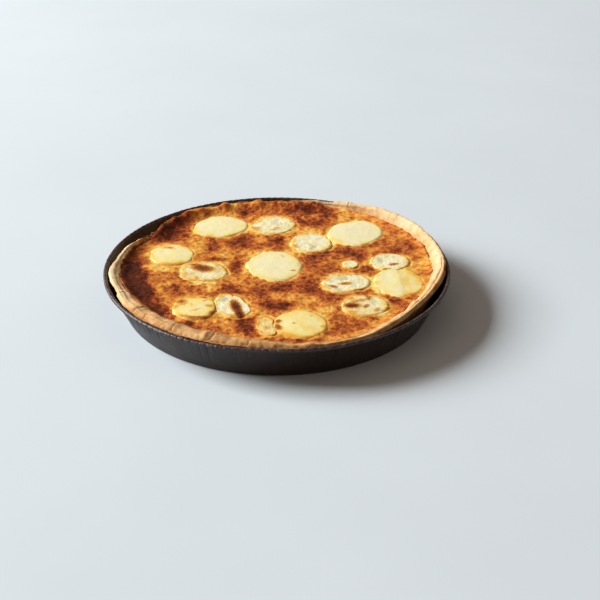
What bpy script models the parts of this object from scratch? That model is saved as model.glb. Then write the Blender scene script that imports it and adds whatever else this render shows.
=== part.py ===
"""A quiche in the thin round foil tin it was baked in.

The tin is a turned shallow dish with a rolled rim.  The pastry case is a shell whose
wall leans, folds and shrinks unevenly inside the tin, so its cross-section is worked
out for each angle from a short table of stations.  The custard fills the case, and
round slices of potato and goat's cheese sit in pockets in its top.

Lengths are in millimetres here and become metres when the meshes are made.  The
origin is at the centre of the tin's flat underside, and +Z is up.
"""
import math

import bmesh
import bpy

MM = 0.001

# Tin
RIM_RADIUS = 135.0        # outer edge of the rolled rim
BEAD_RADIUS = 1.5         # rolled rim's own radius
RIM_TOP = 29.5            # top of the rolled rim
BASE_RADIUS = 119.2       # where the wall meets the table
BASE_CORNER = 1.8         # rounding between base and wall
TIN_WALL = 0.8
BEAD_POINTS = 9
DENT_ANGLE = -92.0        # where the rim has been pushed in
DENT_DEPTH = 1.6
DENT_WIDTH = 11.0         # degrees

# Pastry case
GAP = 0.35                # clearance kept between touching pieces
CASE_FLOOR = 3.0
CASE_FOOT_RADIUS = 116.0  # outer corner of the pastry's floor
CASE_INNER_FOOT = 110.0   # inner corner of the pastry's floor
CASE_CORNER = 2.4
NECK_LIMIT = 131.0        # the pastry stays inside the rolled rim below its top
LIP_DROP = 1.5            # inner edge of the wall's top, below its crest
FILL_EDGE = 25.3          # height at which the custard meets the pastry

# Stations round the pastry wall: angle in degrees, outer radius, height of the crest,
# radius of the lip (inner edge of the top) and radius where the custard meets it.
WALL_STATIONS = (
    (0, 131.2, 31.6, 125.5, 120.5),
    (12, 133.0, 32.9, 128.0, 122.0),
    (24, 133.9, 33.7, 129.5, 124.0),
    (36, 134.8, 34.3, 130.5, 125.8),
    (48, 134.8, 34.3, 130.5, 126.5),
    (58, 133.6, 33.1, 130.0, 127.3),
    (68, 131.8, 30.9, 129.3, 127.4),
    (80, 130.4, 29.1, 128.2, 126.5),
    (96, 129.6, 28.5, 127.3, 125.5),
    (112, 130.0, 28.7, 127.3, 125.5),
    (126, 129.8, 29.3, 126.5, 124.5),
    (138, 126.0, 29.5, 123.0, 121.0),
    (149, 120.8, 28.5, 118.5, 116.5),
    (156, 123.0, 29.7, 120.2, 117.8),
    (166, 124.3, 30.5, 121.2, 119.0),
    (176, 125.9, 31.1, 121.6, 118.8),
    (188, 129.3, 31.3, 123.0, 118.5),
    (200, 127.9, 31.3, 121.0, 116.4),
    (212, 130.4, 31.1, 119.5, 115.5),
    (232, 130.4, 31.5, 119.0, 115.0),
    (250, 130.4, 31.6, 118.0, 114.5),
    (264, 128.6, 30.7, 117.5, 114.5),
    (275, 128.4, 29.5, 120.5, 117.5),
    (287, 128.8, 28.5, 124.0, 120.5),
    (302, 128.0, 28.5, 123.0, 119.5),
    (314, 125.8, 29.7, 120.5, 117.5),
    (328, 124.0, 30.5, 118.5, 115.5),
    (342, 125.8, 30.8, 119.5, 116.5),
    (352, 128.8, 31.1, 122.5, 118.8),
)

# Custard
FILL_LEVEL = 25.1
FILL_RINGS = (0.0, 0.2, 0.4, 0.6, 0.78, 0.91)
# Soft swells of the custard's top: x, y, radius, height.
SWELLS = (
    (-95, -25, 32, 1.6),
    (-30, 30, 40, -0.7),
    (40, 95, 34, 0.8),
    (25, -45, 38, 0.6),
    (95, 50, 30, 0.7),
)

# Slices: name, x, y, long half-axis, short half-axis, direction in degrees,
# height of the top above the custard, and how far the outline leaves an ellipse.
POTATO_SLICES = (
    ("potato_slice_1", -48, 81.5, 23.4, 20.2, 20, 0.5, 0.025),
    ("potato_slice_2", -85, 27, 20.0, 17.6, 106, 0.5, 0.025),
    ("potato_slice_3", -2.5, 8.5, 27.2, 22.6, 98, 0.6, 0.02),
    ("potato_slice_4", 63, 69, 25.6, 22.2, 60, 0.6, 0.02),
    ("potato_slice_5", 93.6, -19.5, 24.6, 19.8, 87, 0.6, 0.015),
    ("potato_slice_6", 18.5, -88.5, 21.2, 20.4, 88, 0.8, 0.02),
    ("potato_slice_7", -61, -64, 20.0, 16.9, 101, 1.0, 0.03),
)
CHEESE_PIECES = (
    ("cheese_piece_1", -5, 84.5, 20.0, 17.8, 20, 0.4, 0.035),
    ("cheese_piece_2", 26.5, 50, 18.6, 17.6, 90, 0.4, 0.03),
    ("cheese_piece_3", 88.5, 16, 16.4, 15.2, 10, 0.4, 0.04),
    ("cheese_piece_4", 53, -21.5, 19.8, 16.0, 20, 0.5, 0.025),
    ("cheese_piece_5", 66, -58.5, 18.6, 17.0, 30, 0.6, 0.03),
    ("cheese_piece_6", 57.5, 11, 6.6, 6.0, 80, 0.3, 0.05),
    ("cheese_piece_7", -57.5, -3, 19.2, 17.0, -20, 0.5, 0.035),
    ("cheese_piece_8", -33, -60, 19.4, 13.2, 108, 0.4, 0.04),
    ("cheese_piece_9", -6, -91.5, 16.4, 7.4, 98, 0.5, 0.03),
)
SLICE_THICKNESS = 4.6
SLICE_SIDES = 22
SLICE_BEVEL = 0.9         # rounding of a slice's upper edge
SLICE_DOME = 0.5          # rise of a slice's middle over its edge

SECTORS = 72              # segments round the tin, pastry and custard
LOBES = ((2, 0.6, 0.5), (3, 1.0, 1.3), (5, 0.45, 4.1))  # outline waves: count, share, phase

MATERIALS = {
    # name: base colour, roughness, metallic
    "tin": ((0.035, 0.028, 0.026), 0.42, 0.6),
    "crust": ((0.72, 0.47, 0.24), 0.75, 0.0),
    "filling": ((0.62, 0.27, 0.07), 0.55, 0.0),
    "potato": ((0.90, 0.74, 0.40), 0.4, 0.0),
    "cheese": ((0.90, 0.86, 0.68), 0.6, 0.0),
}


def material(name):
    """The Principled material of that name, made once."""
    if name in bpy.data.materials:
        return bpy.data.materials[name]
    colour, roughness, metallic = MATERIALS[name]
    made = bpy.data.materials.new(name)
    made.use_nodes = True
    shader = made.node_tree.nodes["Principled BSDF"]
    shader.inputs["Base Color"].default_value = (*colour, 1.0)
    shader.inputs["Roughness"].default_value = roughness
    shader.inputs["Metallic"].default_value = metallic
    return made


def add_object(name, verts_mm, faces, material_name):
    """Make an object from points in millimetres, with its faces pointing out."""
    mesh = bpy.data.meshes.new(name)
    mesh.from_pydata([[c * MM for c in v] for v in verts_mm], [], faces)
    work = bmesh.new()
    work.from_mesh(mesh)
    bmesh.ops.recalc_face_normals(work, faces=work.faces)
    work.to_mesh(mesh)
    work.free()
    mesh.materials.append(material(material_name))
    mesh.shade_smooth()
    mesh.set_sharp_from_angle(angle=math.radians(40))
    made = bpy.data.objects.new(name, mesh)
    bpy.context.scene.collection.objects.link(made)
    return made


def turned_solid(name, sections, material_name, centres):
    """Close a ring of cross-sections into a solid.

    Each section is a list of (radius, z, angle) points that runs from the axis below
    to the axis above; centres holds the z of those two ends.  Every band is split
    along the diagonal that rises with the angle, so that nested walls stay parallel.
    """
    verts = []
    for section in sections:
        for radius, z, angle in section:
            verts.append((radius * math.cos(angle), radius * math.sin(angle), z))
    count = len(sections[0])
    low = len(verts)
    verts.append((0.0, 0.0, centres[0]))
    verts.append((0.0, 0.0, centres[1]))
    faces = []
    for i in range(len(sections)):
        a = i * count
        b = (i + 1) % len(sections) * count
        for j in range(count - 1):
            rising = sections[i][j][1] <= sections[i][j + 1][1]
            low_j, high_j = (j, j + 1) if rising else (j + 1, j)
            faces.append((a + low_j, b + low_j, b + high_j))
            faces.append((a + low_j, b + high_j, a + high_j))
        faces.append((low, b, a))
        faces.append((low + 1, a + count - 1, b + count - 1))
    return add_object(name, verts, faces, material_name)


def periodic(angle_deg, column):
    """Smooth value of one column of WALL_STATIONS at an angle (Catmull-Rom in angle)."""
    angle = angle_deg % 360.0
    count = len(WALL_STATIONS)
    angles = [s[0] for s in WALL_STATIONS] + [WALL_STATIONS[0][0] + 360]
    k = max(i for i in range(count) if angles[i] <= angle)
    t = (angle - angles[k]) / (angles[k + 1] - angles[k])
    p = [WALL_STATIONS[(k + d) % count][column] for d in (-1, 0, 1, 2)]
    return 0.5 * (
        2 * p[1]
        + (p[2] - p[0]) * t
        + (2 * p[0] - 5 * p[1] + 4 * p[2] - p[3]) * t * t
        + (3 * p[1] - p[0] - 3 * p[2] + p[3]) * t ** 3
    )


def dent(angle_deg, z):
    """How far the tin is pushed in at an angle and height."""
    away = (angle_deg - DENT_ANGLE + 180.0) % 360.0 - 180.0
    return DENT_DEPTH * math.exp(-((away / DENT_WIDTH) ** 2)) * max(0.0, z / RIM_TOP) ** 1.5


def tin_profile():
    """Radius and z from the underside's middle, round the rim, to the inside's middle."""
    bead_r = RIM_RADIUS - BEAD_RADIUS
    bead_z = RIM_TOP - BEAD_RADIUS
    corner = BASE_CORNER
    start, stop = math.radians(210), math.radians(-150 + 360 + 330)
    bead = []
    for i in range(BEAD_POINTS):
        a = start + (stop - start) * i / (BEAD_POINTS - 1)
        bead.append((bead_r + BEAD_RADIUS * math.cos(a), bead_z + BEAD_RADIUS * math.sin(a)))
    outside = [
        (BASE_RADIUS * 0.5, 0.0),
        (BASE_RADIUS - corner * 0.7, 0.0),
        (BASE_RADIUS + corner * 0.15, corner * 0.3),
        (BASE_RADIUS + corner * 0.55, corner),
    ]
    wall_top = bead[0][0]
    inside = [
        (wall_top - TIN_WALL - 0.05, bead[0][1] - 0.6),
        (BASE_RADIUS + corner * 0.55 - TIN_WALL, corner),
        (BASE_RADIUS - corner * 0.7, TIN_WALL),
        (BASE_RADIUS * 0.5, TIN_WALL),
    ]
    return outside + bead + inside


def make_tin():
    profile = tin_profile()
    sections = []
    for i in range(SECTORS):
        degrees = 360.0 * i / SECTORS
        angle = math.radians(degrees)
        sections.append([(r - dent(degrees, z), z, angle) for r, z in profile])
    return turned_solid("tin", sections, "tin", (0.0, TIN_WALL))


def wall_shape(degrees):
    """Named radii and heights of the pastry wall at an angle."""
    outer, crest, lip, inner = (periodic(degrees, c) for c in (1, 2, 3, 4))
    return outer, crest, lip, inner


def case_section(degrees):
    """Cross-section of the pastry case, from under its floor to over it."""
    outer, crest, lip, inner = wall_shape(degrees)
    floor_low = TIN_WALL + GAP
    floor_high = floor_low + CASE_FLOOR
    top = outer - (outer - lip) * 0.45
    neck = min(outer - 0.8, NECK_LIMIT)
    return [
        (CASE_FOOT_RADIUS * 0.5, floor_low),
        (CASE_FOOT_RADIUS - CASE_CORNER, floor_low),
        (CASE_FOOT_RADIUS, floor_low + CASE_CORNER),
        (neck, crest - 4.3),
        (outer, crest - 2.7),
        (outer - (outer - top) * 0.45, crest - 0.7),
        (top, crest),
        (lip, crest - LIP_DROP),
        (inner, FILL_EDGE),
        (CASE_INNER_FOOT, floor_high + CASE_CORNER * 0.5),
        (CASE_INNER_FOOT - CASE_CORNER, floor_high),
        (CASE_INNER_FOOT * 0.5, floor_high),
    ]


def make_crust():
    sections = []
    for i in range(SECTORS):
        degrees = 360.0 * i / SECTORS
        angle = math.radians(degrees)
        sections.append([(r, z, angle) for r, z in case_section(degrees)])
    floor_low = TIN_WALL + GAP
    return turned_solid("crust", sections, "crust", (floor_low, floor_low + CASE_FLOOR))


def fill_height(x, y):
    """Height of the custard's top at a place."""
    z = FILL_LEVEL
    for sx, sy, radius, rise in SWELLS:
        z += rise * math.exp(-((x - sx) ** 2 + (y - sy) ** 2) / radius ** 2)
    return z


def make_filling():
    base = TIN_WALL + GAP + CASE_FLOOR + GAP
    sections = []
    for i in range(SECTORS):
        degrees = 360.0 * i / SECTORS
        angle = math.radians(degrees)
        edge = wall_shape(degrees)[3] - GAP
        section = [
            (CASE_INNER_FOOT * 0.5, base),
            (CASE_INNER_FOOT - CASE_CORNER - GAP, base),
            (CASE_INNER_FOOT - GAP, base + CASE_CORNER * 0.5),
            (edge, FILL_EDGE - GAP),
        ]
        for share in reversed(FILL_RINGS[1:]):
            r = edge * share
            section.append((r, fill_height(r * math.cos(angle), r * math.sin(angle))))
        sections.append([(r, z, angle) for r, z in section])
    return turned_solid("filling", sections, "filling", (base, fill_height(0.0, 0.0)))


def outline(x, y, long_axis, short_axis, direction, wobble, grow=0.0):
    """Points of a slice's uneven round outline."""
    turn = math.radians(direction)
    points = []
    for i in range(SLICE_SIDES):
        a = 2.0 * math.pi * i / SLICE_SIDES
        wave = sum(share * math.sin(n * a + phase + x) for n, share, phase in LOBES)
        scale = 1.0 + wobble * wave
        u = (long_axis * scale + grow) * math.cos(a)
        v = (short_axis * scale + grow) * math.sin(a)
        points.append((x + u * math.cos(turn) - v * math.sin(turn),
                       y + u * math.sin(turn) + v * math.cos(turn)))
    return points


def shrink(points, x, y, amount):
    """Outline moved in towards its middle by an amount."""
    moved = []
    for px, py in points:
        length = math.hypot(px - x, py - y)
        share = max(0.0, length - amount) / length
        moved.append((x + (px - x) * share, y + (py - y) * share))
    return moved


def slab(name, loops, low, high, material_name):
    """Solid through stacked outlines; low and high are its end centres."""
    count = len(loops[0])
    verts = [point for loop in loops for point in loop]
    verts.extend((low, high))
    faces = []
    for k in range(len(loops) - 1):
        for i in range(count):
            j = (i + 1) % count
            faces.append((k * count + i, k * count + j, (k + 1) * count + j, (k + 1) * count + i))
    last = (len(loops) - 1) * count
    for i in range(count):
        j = (i + 1) % count
        faces.append((len(verts) - 2, j, i))
        faces.append((len(verts) - 1, last + i, last + j))
    return add_object(name, verts, faces, material_name)


def make_slice(spec, material_name):
    """One slice: flat below, with a rounded upper edge and a slight dome."""
    name, x, y, long_axis, short_axis, direction, proud, wobble = spec
    top = fill_height(x, y) + proud
    edge = outline(x, y, long_axis, short_axis, direction, wobble)
    inset = shrink(edge, x, y, SLICE_BEVEL)
    middle = shrink(edge, x, y, long_axis * 0.45)
    loops = [
        [(px, py, top - SLICE_THICKNESS) for px, py in inset],
        [(px, py, top - SLICE_BEVEL) for px, py in edge],
        [(px, py, top) for px, py in inset],
        [(px, py, top + SLICE_DOME * 0.8) for px, py in middle],
    ]
    low = (x, y, top - SLICE_THICKNESS)
    high = (x, y, top + SLICE_DOME)
    return slab(name, loops, low, high, material_name)


def cutter(name, spec, grow, low, high):
    """A straight-sided tool a little larger than a slice, between two heights."""
    _, x, y, long_axis, short_axis, direction, _, wobble = spec
    edge = outline(x, y, long_axis, short_axis, direction, wobble, grow)
    loops = [[(px, py, z) for px, py in edge] for z in (low, high)]
    tool = slab(name, loops, (x, y, low), (x, y, high), "filling")
    tool.hide_render = True
    tool.display_type = "WIRE"
    return tool


def cut(target, tool):
    """Take the tool's shape out of the target."""
    modifier = target.modifiers.new(tool.name, "BOOLEAN")
    modifier.operation = "DIFFERENCE"
    modifier.solver = "EXACT"
    modifier.object = tool


def overlaps(first, second):
    """Whether two slices come near each other."""
    distance = math.hypot(first[1] - second[1], first[2] - second[2])
    return distance < first[3] + second[3] + 2.0


def make_slices(filling):
    """All the slices, the cheese cut where potato lies over it, in their pockets."""
    above = RIM_TOP + 12.0
    for spec in POTATO_SLICES + CHEESE_PIECES:
        floor = fill_height(spec[1], spec[2]) + spec[6] - SLICE_THICKNESS - GAP
        cut(filling, cutter("pocket_" + spec[0], spec, GAP, floor, above))
    for spec in POTATO_SLICES:
        make_slice(spec, "potato")
    below = TIN_WALL
    for spec in CHEESE_PIECES:
        piece = make_slice(spec, "cheese")
        for over in POTATO_SLICES:
            if overlaps(spec, over):
                tool = cutter("cut_%s_%s" % (spec[0], over[0]), over, GAP, below, above)
                cut(piece, tool)


def build():
    for old in list(bpy.data.objects):
        bpy.data.objects.remove(old, do_unlink=True)
    make_tin()
    make_crust()
    filling = make_filling()
    make_slices(filling)


build()
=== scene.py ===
"""Looks of a quiche in its foil tin: browned custard, pastry, potato and goat's cheese.

Every shape is worked out in millimetres, in the frame's own axes, and becomes metres
when its mesh is made.  Slices take their place and height from the frame; the pastry
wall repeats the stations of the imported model.
"""
import math

import bpy
import numpy as np
from mathutils import Matrix, Vector


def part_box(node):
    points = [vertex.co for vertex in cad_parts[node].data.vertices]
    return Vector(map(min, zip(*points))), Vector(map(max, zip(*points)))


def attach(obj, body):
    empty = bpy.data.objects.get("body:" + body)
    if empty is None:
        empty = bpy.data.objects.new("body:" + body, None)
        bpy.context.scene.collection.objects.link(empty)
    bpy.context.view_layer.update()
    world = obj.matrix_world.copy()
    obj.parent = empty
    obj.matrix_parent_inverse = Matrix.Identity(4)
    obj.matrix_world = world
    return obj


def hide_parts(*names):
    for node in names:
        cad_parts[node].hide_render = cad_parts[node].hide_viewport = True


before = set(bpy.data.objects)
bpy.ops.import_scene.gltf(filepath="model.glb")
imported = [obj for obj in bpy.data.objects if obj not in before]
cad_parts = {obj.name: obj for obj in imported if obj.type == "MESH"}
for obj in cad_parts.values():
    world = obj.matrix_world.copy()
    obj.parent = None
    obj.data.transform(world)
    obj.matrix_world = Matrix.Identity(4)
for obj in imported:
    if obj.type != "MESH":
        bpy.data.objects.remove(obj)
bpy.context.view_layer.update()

MM = 0.001


def corners_mm(node):
    """A node's lowest and highest corners in millimetres."""
    low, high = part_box(node)
    return np.array(low) / MM, np.array(high) / MM


# ------------------------------ noise and fields

def lattice(ix, iy, iz, seed):
    """A fixed pseudo-random number from 0 to 1 for each lattice point."""
    h = (ix * 374761393 + iy * 668265263 + iz * 1440662683 + seed * 974634777) & 0xFFFFFFFF
    h = ((h ^ (h >> 13)) * 1274126177) & 0xFFFFFFFF
    h = ((h ^ (h >> 15)) * 2246822519) & 0xFFFFFFFF
    return (h ^ (h >> 16)) / 4294967295.0


def noise(p, size, seed=0):
    """Smooth noise from -1 to 1 with features about size mm across.

    Points may be a list or a grid of them, and the values keep that shape.
    """
    q = p / size
    base = np.floor(q).astype(np.int64)
    f = q - base
    f = f * f * f * (f * (f * 6 - 15) + 10)
    total = np.zeros(p.shape[:-1])
    for dx in (0, 1):
        wx = f[..., 0] if dx else 1 - f[..., 0]
        for dy in (0, 1):
            wy = f[..., 1] if dy else 1 - f[..., 1]
            for dz in (0, 1):
                wz = f[..., 2] if dz else 1 - f[..., 2]
                value = lattice(base[..., 0] + dx, base[..., 1] + dy, base[..., 2] + dz, seed)
                total += wx * wy * wz * value
    return total * 2 - 1


def fbm(p, size, octaves=4, seed=0, gain=0.55):
    """Noise summed over octaves, each half the size of the last."""
    total = np.zeros(p.shape[:-1])
    weight, norm = 1.0, 0.0
    for k in range(octaves):
        total += weight * noise(p + 17.3 * k, size / 2 ** k, seed + k)
        norm += weight
        weight *= gain
    return total / norm


def ridged(p, size, octaves=3, seed=0):
    """Sharp-crested noise from 0 to 1."""
    total = np.zeros(p.shape[:-1])
    weight, norm = 1.0, 0.0
    for k in range(octaves):
        total += weight * (1 - np.abs(noise(p + 9.1 * k, size / 2 ** k, seed + k)))
        norm += weight
        weight *= 0.5
    return total / norm


def cells(xy, size, seed=0):
    """Distance to the nearest scattered point, in cell sizes, on the plane."""
    q = xy / size
    base = np.floor(q).astype(np.int64)
    best = np.full(len(xy), 9.0)
    zero = np.zeros(len(xy), dtype=np.int64)
    for dx in (-1, 0, 1):
        for dy in (-1, 0, 1):
            cx, cy = base[:, 0] + dx, base[:, 1] + dy
            px = cx + lattice(cx, cy, zero, seed)
            py = cy + lattice(cx, cy, zero + 1, seed)
            best = np.minimum(best, np.hypot(q[:, 0] - px, q[:, 1] - py))
    return best


def smooth(low, high, value):
    """Smooth step from 0 at low to 1 at high."""
    t = np.clip((value - low) / (high - low), 0, 1)
    return t * t * (3 - 2 * t)


def bell(value, width):
    """Bell curve: 1 at 0, and fading beyond the width."""
    return np.exp(-(value / width) ** 2)


def blob(xy, spot):
    """Soft oval spot: x, y, half-length, half-width, direction in degrees, strength."""
    x, y, length, width, direction, strength = spot
    turn = math.radians(direction)
    dx, dy = xy[..., 0] - x, xy[..., 1] - y
    u = (dx * math.cos(turn) + dy * math.sin(turn)) / length
    v = (-dx * math.sin(turn) + dy * math.cos(turn)) / width
    return strength * np.exp(-(u * u + v * v) ** 1.5)


def arc_away(degrees, centre):
    """Angle in degrees from a centre angle, from -180 to 180."""
    return (degrees - centre + 180) % 360 - 180


# ------------------------------ meshes

def add_object(name, data):
    """A new object in the scene."""
    thing = bpy.data.objects.new(name, data)
    bpy.context.scene.collection.objects.link(thing)
    return thing


def build_mesh(name, verts_mm, faces, fields):
    """A smooth mesh object at the origin, with named float fields on its points."""
    mesh = bpy.data.meshes.new(name)
    verts = (np.asarray(verts_mm) * MM).astype(np.float32)
    mesh.from_pydata(verts.tolist(), [], faces)
    for label, values in fields.items():
        layer = mesh.attributes.new(label, "FLOAT", "POINT")
        layer.data.foreach_set("value", np.asarray(values, dtype=np.float32))
    mesh.shade_smooth()
    mesh.update()
    return add_object(name, mesh)


def band_faces(rows, columns, closed=True, flip=False):
    """Quads of a grid stored row by row, each row a closed ring or an open line."""
    faces = []
    last = columns if closed else columns - 1
    for i in range(rows - 1):
        a = i * columns
        b = a + columns
        for j in range(last):
            k = (j + 1) % columns
            quad = (a + j, a + k, b + k, b + j)
            faces.append(quad[::-1] if flip else quad)
    return faces


def fan_faces(ring_start, columns, centre, flip=False):
    """Triangles from a closed ring to one point."""
    faces = []
    for j in range(columns):
        k = (j + 1) % columns
        tri = (ring_start + j, ring_start + k, centre)
        faces.append(tri[::-1] if flip else tri)
    return faces


def turned_shell(name, r, z, degrees, centres, fields):
    """A closed shell from rings of radius and height, with its two middle points.

    Fields are (values on the rings, value at both middle points).
    """
    turn = np.radians(degrees)
    rows, columns = r.shape
    verts = np.stack([r * np.cos(turn), r * np.sin(turn), z], 2).reshape(-1, 3)
    faces = band_faces(rows, columns, flip=True)
    verts = np.concatenate([verts, [[0, 0, height] for height in centres]])
    faces += fan_faces(0, columns, len(verts) - 2, flip=True)
    faces += fan_faces((rows - 1) * columns, columns, len(verts) - 1)
    padded = {label: np.append(values.reshape(-1), [middle] * 2)
              for label, (values, middle) in fields.items()}
    return build_mesh(name, verts, faces, padded)


def circle_points(degrees, radius, height=0.0):
    """Points at the given angles and radius about the vertical axis."""
    turn = np.radians(degrees)
    return np.stack([radius * np.cos(turn), radius * np.sin(turn),
                     np.full(len(turn), float(height))], 1)


def span_curve(a, b, c, d, t):
    """Catmull-Rom curve from b to c at share t, with a before and d after."""
    return 0.5 * (2 * b + (c - a) * t + (2 * a - 5 * b + 4 * c - d) * t ** 2
                  + (3 * b - a - 3 * c + d) * t ** 3)


def catmull(points, samples):
    """Points along a smooth curve through the given ones, samples to each span."""
    p = np.asarray(points, dtype=float)
    p = np.concatenate([p[:1] * 2 - p[1:2], p, p[-1:] * 2 - p[-2:-1]])
    out = []
    for i in range(1, len(p) - 2):
        t = (np.arange(samples[i - 1]) / samples[i - 1]).reshape((-1,) + (1,) * (p.ndim - 1))
        out.append(span_curve(*p[i - 1:i + 3], t))
    out.append(p[-2:-1])
    return np.concatenate(out)


# ------------------------------ materials

def srgb(r, g, b):
    """Linear colour of an sRGB colour written from 0 to 255."""
    out = []
    for c in (r, g, b):
        c /= 255
        out.append(c / 12.92 if c <= 0.04045 else ((c + 0.055) / 1.055) ** 2.4)
    return (*out, 1.0)


class Surface:
    """A Principled material built from a few node shorthands."""

    def __init__(self, name, **settings):
        self.material = bpy.data.materials.new(name)
        self.material.use_nodes = True
        self.nodes = self.material.node_tree.nodes
        self.links = self.material.node_tree.links
        self.shader = self.nodes["Principled BSDF"]
        for label, value in settings.items():
            self.shader.inputs[label.replace("_", " ")].default_value = value
        self.place = self.nodes.new("ShaderNodeTexCoord").outputs["Object"]

    def put(self, value, socket):
        """Link an output to a socket, or set a plain value on it."""
        if isinstance(value, bpy.types.NodeSocket):
            self.links.new(value, socket)
        else:
            socket.default_value = value

    def node(self, kind, output, inputs, **settings):
        """One output of a new node, after its settings and inputs are set."""
        node = self.nodes.new("ShaderNode" + kind)
        for label, value in settings.items():
            setattr(node, label, value)
        for label, value in inputs.items():
            self.put(value, node.inputs[label])
        return node.outputs[output]

    def field(self, name):
        """A named float field of the mesh."""
        return self.node("Attribute", "Fac", {}, attribute_name=name)

    def noise(self, size_mm, detail=3.0, roughness=0.55, distortion=0.0, stretch=None):
        """Noise texture with features about size_mm across, from about 0 to 1."""
        place = self.place
        if stretch:
            place = self.node("Mapping", "Vector", {"Scale": stretch, "Vector": place})
        return self.node("TexNoise", "Fac", {
            "Scale": 1 / (size_mm * MM), "Detail": detail, "Roughness": roughness,
            "Distortion": distortion, "Vector": place})

    def voronoi(self, size_mm):
        """Distance to the nearest of scattered points about size_mm apart."""
        inputs = {"Scale": 1 / (size_mm * MM), "Vector": self.place}
        return self.node("TexVoronoi", "Distance", inputs)

    def math(self, operation, a, b):
        """Two values combined by a Math node."""
        return self.node("Math", 0, {0: a, 1: b}, operation=operation)

    def scaled(self, value, low_in, high_in, low_out=0.0, high_out=1.0):
        """Value mapped from one range to another, and kept inside it."""
        return self.node("MapRange", "Result", {
            "Value": value, "From Min": low_in, "From Max": high_in,
            "To Min": low_out, "To Max": high_out}, clamp=True)

    def vary(self, value, noise, amount, low=0.3, high=0.7):
        """Value with a noise texture added, from -amount to amount."""
        return self.math("ADD", value, self.scaled(noise, low, high, -amount, amount))

    def ramp(self, value, stops):
        """Colour from stops of (position, sRGB colour)."""
        node = self.nodes.new("ShaderNodeValToRGB")
        marks = node.color_ramp.elements
        while len(marks) < len(stops):
            marks.new(0.5)
        for mark, (position, colour) in zip(marks, stops):
            mark.position = position
            mark.color = srgb(*colour)
        self.put(value, node.inputs["Fac"])
        return node.outputs["Color"]

    def mix(self, a, b, share):
        """Colour a, turned into b by share."""
        return self.node("Mix", "Result", {"Factor": share, "A": a, "B": b},
                         data_type="RGBA")

    def bump(self, height, distance_mm, strength, under=None):
        """Normal roughened by a height, on top of another normal if one is given."""
        inputs = {"Strength": strength, "Distance": distance_mm * MM, "Height": height}
        if under is not None:
            inputs["Normal"] = under
        return self.node("Bump", "Normal", inputs)

    def finish(self, colour, roughness, normal=None):
        """Set the shader's colour, roughness and normal, and give the material."""
        self.put(colour, self.shader.inputs["Base Color"])
        self.put(roughness, self.shader.inputs["Roughness"])
        if normal is not None:
            self.put(normal, self.shader.inputs["Normal"])
        return self.material


def dress(piece, material):
    """Give a piece its only material."""
    piece.data.materials.clear()
    piece.data.materials.append(material)


# ------------------------------ tin

TIN_LOW, TIN_HIGH = corners_mm("tin")
RIM_RADIUS = (TIN_HIGH[0] - TIN_LOW[0]) / 2
RIM_TOP = TIN_HIGH[2]
BEAD_RADIUS = 1.5
BEAD_R, BEAD_Z = RIM_RADIUS - BEAD_RADIUS, RIM_TOP - BEAD_RADIUS
BEAD_REACH = 2.0          # how far the rim's crimps fade over
BASE_RADIUS = 119.2
BASE_CORNER = 1.8
TIN_WALL = 0.8
DENT_ANGLE, DENT_DEPTH, DENT_WIDTH = -92.0, 1.6, 11.0
WALL_FOOT = (2.0, 6.0)    # heights between which the wall's folds fade in
WALL_INNER = 90.0         # the base inside this radius stays flat
TIN_SECTORS = 1440
# the most shade painted inside a crease
DARKEST_FOLD_SHADE = 0.8
NOISE_RING = 60.0         # radius at which the rim's noise is read
RIM_PLEATS = 150          # small crimps round the rolled rim
CREASES = 90              # sharp folds down the wall


def tin_material():
    s = Surface("tin_lacquer", Specular_IOR_Level=0.42)
    streak = s.noise(9.0, 4.0, 0.6, stretch=(1, 1, 0.25))
    cloud = s.noise(30.0, 3.0)
    sheen_noise = s.noise(2.5, 4.0, 0.65)
    tone = s.math("ADD", s.math("MULTIPLY", streak, 0.6), s.math("MULTIPLY", cloud, 0.4))
    colour = s.ramp(tone, ((0.3, (26, 13, 8)), (0.55, (38, 22, 15)), (0.8, (54, 36, 29))))
    # Painted sheen: the top of the rolled rim is turned a pale pinkish grey, broken up by noise.
    bead_sheen = s.math("MULTIPLY", s.field("edge"), s.scaled(sheen_noise, 0.42, 0.66, 0.15, 0.8))
    colour = s.mix(colour, srgb(150, 128, 126), bead_sheen)
    # Painted shade: darker down inside the wall's creases.
    colour = s.mix(colour, srgb(18, 12, 11), s.field("fold"))
    rough = s.scaled(sheen_noise, 0.3, 0.7, 0.36, 0.52)
    normal = s.bump(s.noise(5.0, 3.0), 0.2, 0.4)
    normal = s.bump(s.noise(0.8, 2.0), 0.05, 0.3, under=normal)
    return s.finish(colour, rough, normal)


def tin_profile():
    """Radius and height from the underside, round the rolled rim, to the inside."""
    bead_angles = np.radians(np.linspace(210, 540, 17))
    bead = np.stack([BEAD_R + BEAD_RADIUS * np.cos(bead_angles),
                     BEAD_Z + BEAD_RADIUS * np.sin(bead_angles)], 1)
    corner = np.radians(np.linspace(-90, -24, 5))
    foot_r = BASE_RADIUS - BASE_CORNER * 0.8
    foot = np.stack([foot_r + BASE_CORNER * np.cos(corner),
                     BASE_CORNER + BASE_CORNER * np.sin(corner)], 1)
    base = np.array([(40.0, 0.0), (90.0, 0.0), (112.0, 0.0)])
    up = np.linspace(0, 1, 18)[1:-1, None]
    wall = foot[-1] * (1 - up) + bead[0] * up
    inner_foot = np.array([foot[-1][0] - TIN_WALL, foot[-1][1] + 0.3])
    inner_top = np.array([bead[-1][0] - 0.35, bead[-1][1] - 0.9])
    inner_wall = inner_top * (1 - up[::2]) + inner_foot * up[::2]
    floor = np.array([(foot_r - 0.5, TIN_WALL), (80.0, TIN_WALL)])
    return np.concatenate([base, foot, wall, bead, inner_top[None], inner_wall, floor])


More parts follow.
